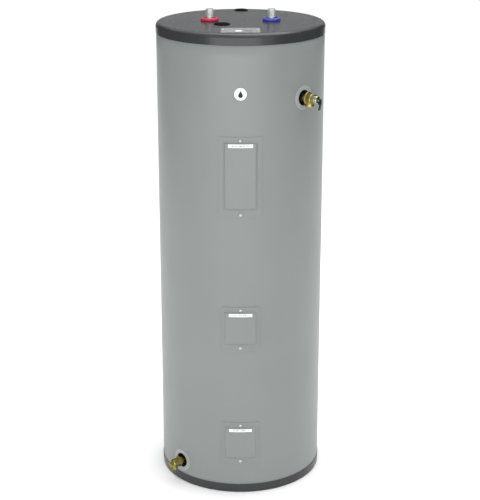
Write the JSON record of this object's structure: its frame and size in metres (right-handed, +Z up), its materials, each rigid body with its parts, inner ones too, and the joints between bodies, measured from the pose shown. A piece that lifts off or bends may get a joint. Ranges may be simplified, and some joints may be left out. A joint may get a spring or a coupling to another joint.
{
  "type": "tank water heater",
  "caption": "Tall cylindrical electric storage water heater with top water connections, bolted access covers, side relief valve and bottom drain valve.",
  "frame": {"origin": "on the tank axis at floor level, on the underside of the base pan", "axes": "+Z up along the tank; -Y is the front with the access covers; +X is the cold water side"},
  "size_m": [0.558, 0.5646, 1.62],
  "materials": {
    "jacket_paint": "satin",
    "dark_paint": "semi-gloss",
    "trim_plastic": "satin",
    "tank_steel": "dull",
    "element_steel": "satin",
    "zinc": "bright",
    "brass": "satin",
    "foam": "matt",
    "fibre": "matt",
    "black_plastic": "matt",
    "pale_plastic": "gloss",
    "red_plastic": "gloss",
    "blue_plastic": "gloss",
    "rubber": "matt",
    "magnesium": "cast",
    "black_wire": "satin",
    "red_wire": "satin",
    "yellow_wire": "satin"
  },
  "bodies": {
    "heater": {"jacket": "jacket_paint", "base_pan": "dark_paint", "top_cover": "dark_paint", "tp_valve_escutcheon": "trim_plastic", "drain_valve_escutcheon": "trim_plastic", "tank_shell": "tank_steel", "tank_top_head": "tank_steel", "tank_bottom_head": "tank_steel", "upper_element": "element_steel", "lower_element": "element_steel", "hot_nipple": "zinc", "cold_nipple": "zinc", "junction_box": "zinc", "upper_thermostat_bracket": "zinc", "lower_thermostat_bracket": "zinc", "tp_valve_bonnet": "zinc", "tp_valve_body": "brass", "drain_valve_body": "brass", "foam_insulation": "foam", "anode_access_cap": "black_plastic", "foam_fill_plug": "black_plastic", "upper_thermostat": "black_plastic", "lower_thermostat": "black_plastic", "high_limit_switch": "black_plastic", "round_badge": "pale_plastic", "dip_tube": "pale_plastic", "hot_ring": "red_plastic", "cold_ring": "blue_plastic", "upper_element_gasket": "rubber", "lower_element_gasket": "rubber", "anode_rod": "magnesium", "supply_wire_black": "black_wire", "lower_element_feed_wire": "black_wire", "supply_wire_red": "red_wire", "thermostat_link_wire": "red_wire", "lower_element_return_wire": "yellow_wire"},
    "upper_cover": {"upper_access_cover": "jacket_paint", "upper_insulation_pad": "fibre", "upper_cover_lower_screw": "zinc", "upper_cover_upper_screw": "zinc"},
    "middle_cover": {"middle_access_cover": "jacket_paint", "middle_insulation_pad": "fibre", "middle_cover_lower_screw": "zinc", "middle_cover_upper_screw": "zinc"},
    "lower_cover": {"lower_access_cover": "jacket_paint", "lower_insulation_pad": "fibre", "lower_cover_lower_screw": "zinc", "lower_cover_upper_screw": "zinc"},
    "junction_cover": {"junction_box_cover": "zinc", "junction_cover_screw_left": "zinc", "junction_cover_screw_right": "zinc"},
    "upper_dial": {"upper_dial": "pale_plastic"},
    "lower_dial": {"lower_dial": "pale_plastic"},
    "reset_button": {"reset_button": "red_plastic"},
    "tp_stem": {"tp_valve_stem": "zinc", "tp_valve_spring": "element_steel"},
    "tp_lever": {"tp_valve_lever": "black_plastic", "tp_valve_lever_pin": "zinc"},
    "drain_stem": {"drain_valve_stem": "brass"},
    "drain_plug": {"drain_valve_plug": "rubber"}
  },
  "joints": [
    {"name": "upper_cover_off", "type": "slide", "parent": "heater", "child": "upper_cover", "axis": [0, -1, 0], "range_m": [0, 0.15]},
    {"name": "middle_cover_off", "type": "slide", "parent": "heater", "child": "middle_cover", "axis": [0, -1, 0], "range_m": [0, 0.15]},
    {"name": "lower_cover_off", "type": "slide", "parent": "heater", "child": "lower_cover", "axis": [0, -1, 0], "range_m": [0, 0.15]},
    {"name": "junction_cover_off", "type": "slide", "parent": "heater", "child": "junction_cover", "axis": [0, 0, 1], "range_m": [0, 0.08]},
    {"name": "upper_dial_turn", "type": "hinge", "parent": "heater", "child": "upper_dial", "pos_m": [-0.008, -0.2284, 1.112], "axis": [0, 1, 0], "range_deg": [-60, 210]},
    {"name": "lower_dial_turn", "type": "hinge", "parent": "heater", "child": "lower_dial", "pos_m": [-0.008, -0.2284, 0.598], "axis": [0, 1, 0], "range_deg": [-60, 210]},
    {"name": "reset_button_press", "type": "slide", "parent": "heater", "child": "reset_button", "axis": [0, 1, 0], "range_m": [0, 0.002], "stiffness_N_per_m": 600, "springref_m": -0.001},
    {"name": "tp_stem_lift", "type": "slide", "parent": "heater", "child": "tp_stem", "axis": [0.7314, -0.682, 0], "range_m": [0, 0.0045], "stiffness_N_per_m": 500, "springref_m": -0.004},
    {"name": "tp_lever_swing", "type": "hinge", "parent": "tp_stem", "child": "tp_lever", "pos_m": [0.25049, -0.23358, 1.3635], "axis": [-0.682, -0.7314, 0], "range_deg": [0, 80]},
    {"name": "drain_stem_turn", "type": "hinge", "parent": "heater", "child": "drain_stem", "pos_m": [-0.23961, -0.21957, 0.078], "axis": [-0.7373, -0.6756, 0], "range_deg": [0, 900]},
    {"name": "drain_plug_lift", "type": "slide", "parent": "heater", "child": "drain_plug", "axis": [-0.7373, -0.6756, 0], "range_m": [0, 0.0038]}
  ],
  "couplings": [
    {"joint": "tp_lever_swing", "follows": "tp_stem_lift", "rad_per_m": 310},
    {"joint": "drain_plug_lift", "follows": "drain_stem_turn", "m_per_rad": 0.00023873}
  ]
}
